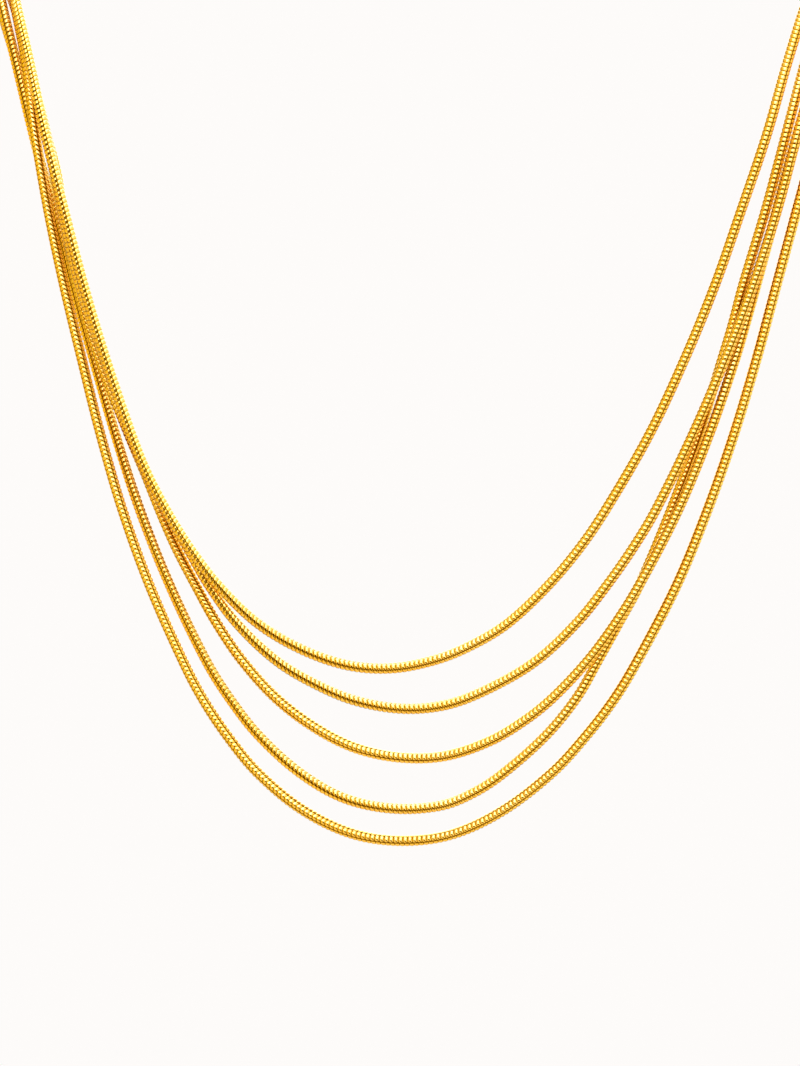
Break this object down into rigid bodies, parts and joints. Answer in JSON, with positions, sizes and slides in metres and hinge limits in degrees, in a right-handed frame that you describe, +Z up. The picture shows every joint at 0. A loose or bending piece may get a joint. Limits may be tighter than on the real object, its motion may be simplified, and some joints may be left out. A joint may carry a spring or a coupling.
{
  "type": "multi strand necklace",
  "caption": "Multi strand necklace of round snake chains of rising length, gathered in end caps at the nape and joined by a ring clasp, kept in its worn form.",
  "frame": {"origin": "middle of the fastening at the nape, on the axis of the two end caps", "axes": "+X to the wearer's left, +Y backwards, +Z up along the neck"},
  "size_m": [0.1242, 0.1103, 0.1483],
  "materials": {
    "chain": "polished yellow gold plate on fine stamped links",
    "fastening": "polished yellow gold plate"
  },
  "bodies": {
    "root": {"strand_1": "chain", "strand_2": "chain", "strand_3": "chain", "strand_4": "chain", "strand_5": "chain", "end_cap_left": "fastening", "end_cap_right": "fastening", "clasp": "fastening"}
  },
  "joints": []
}
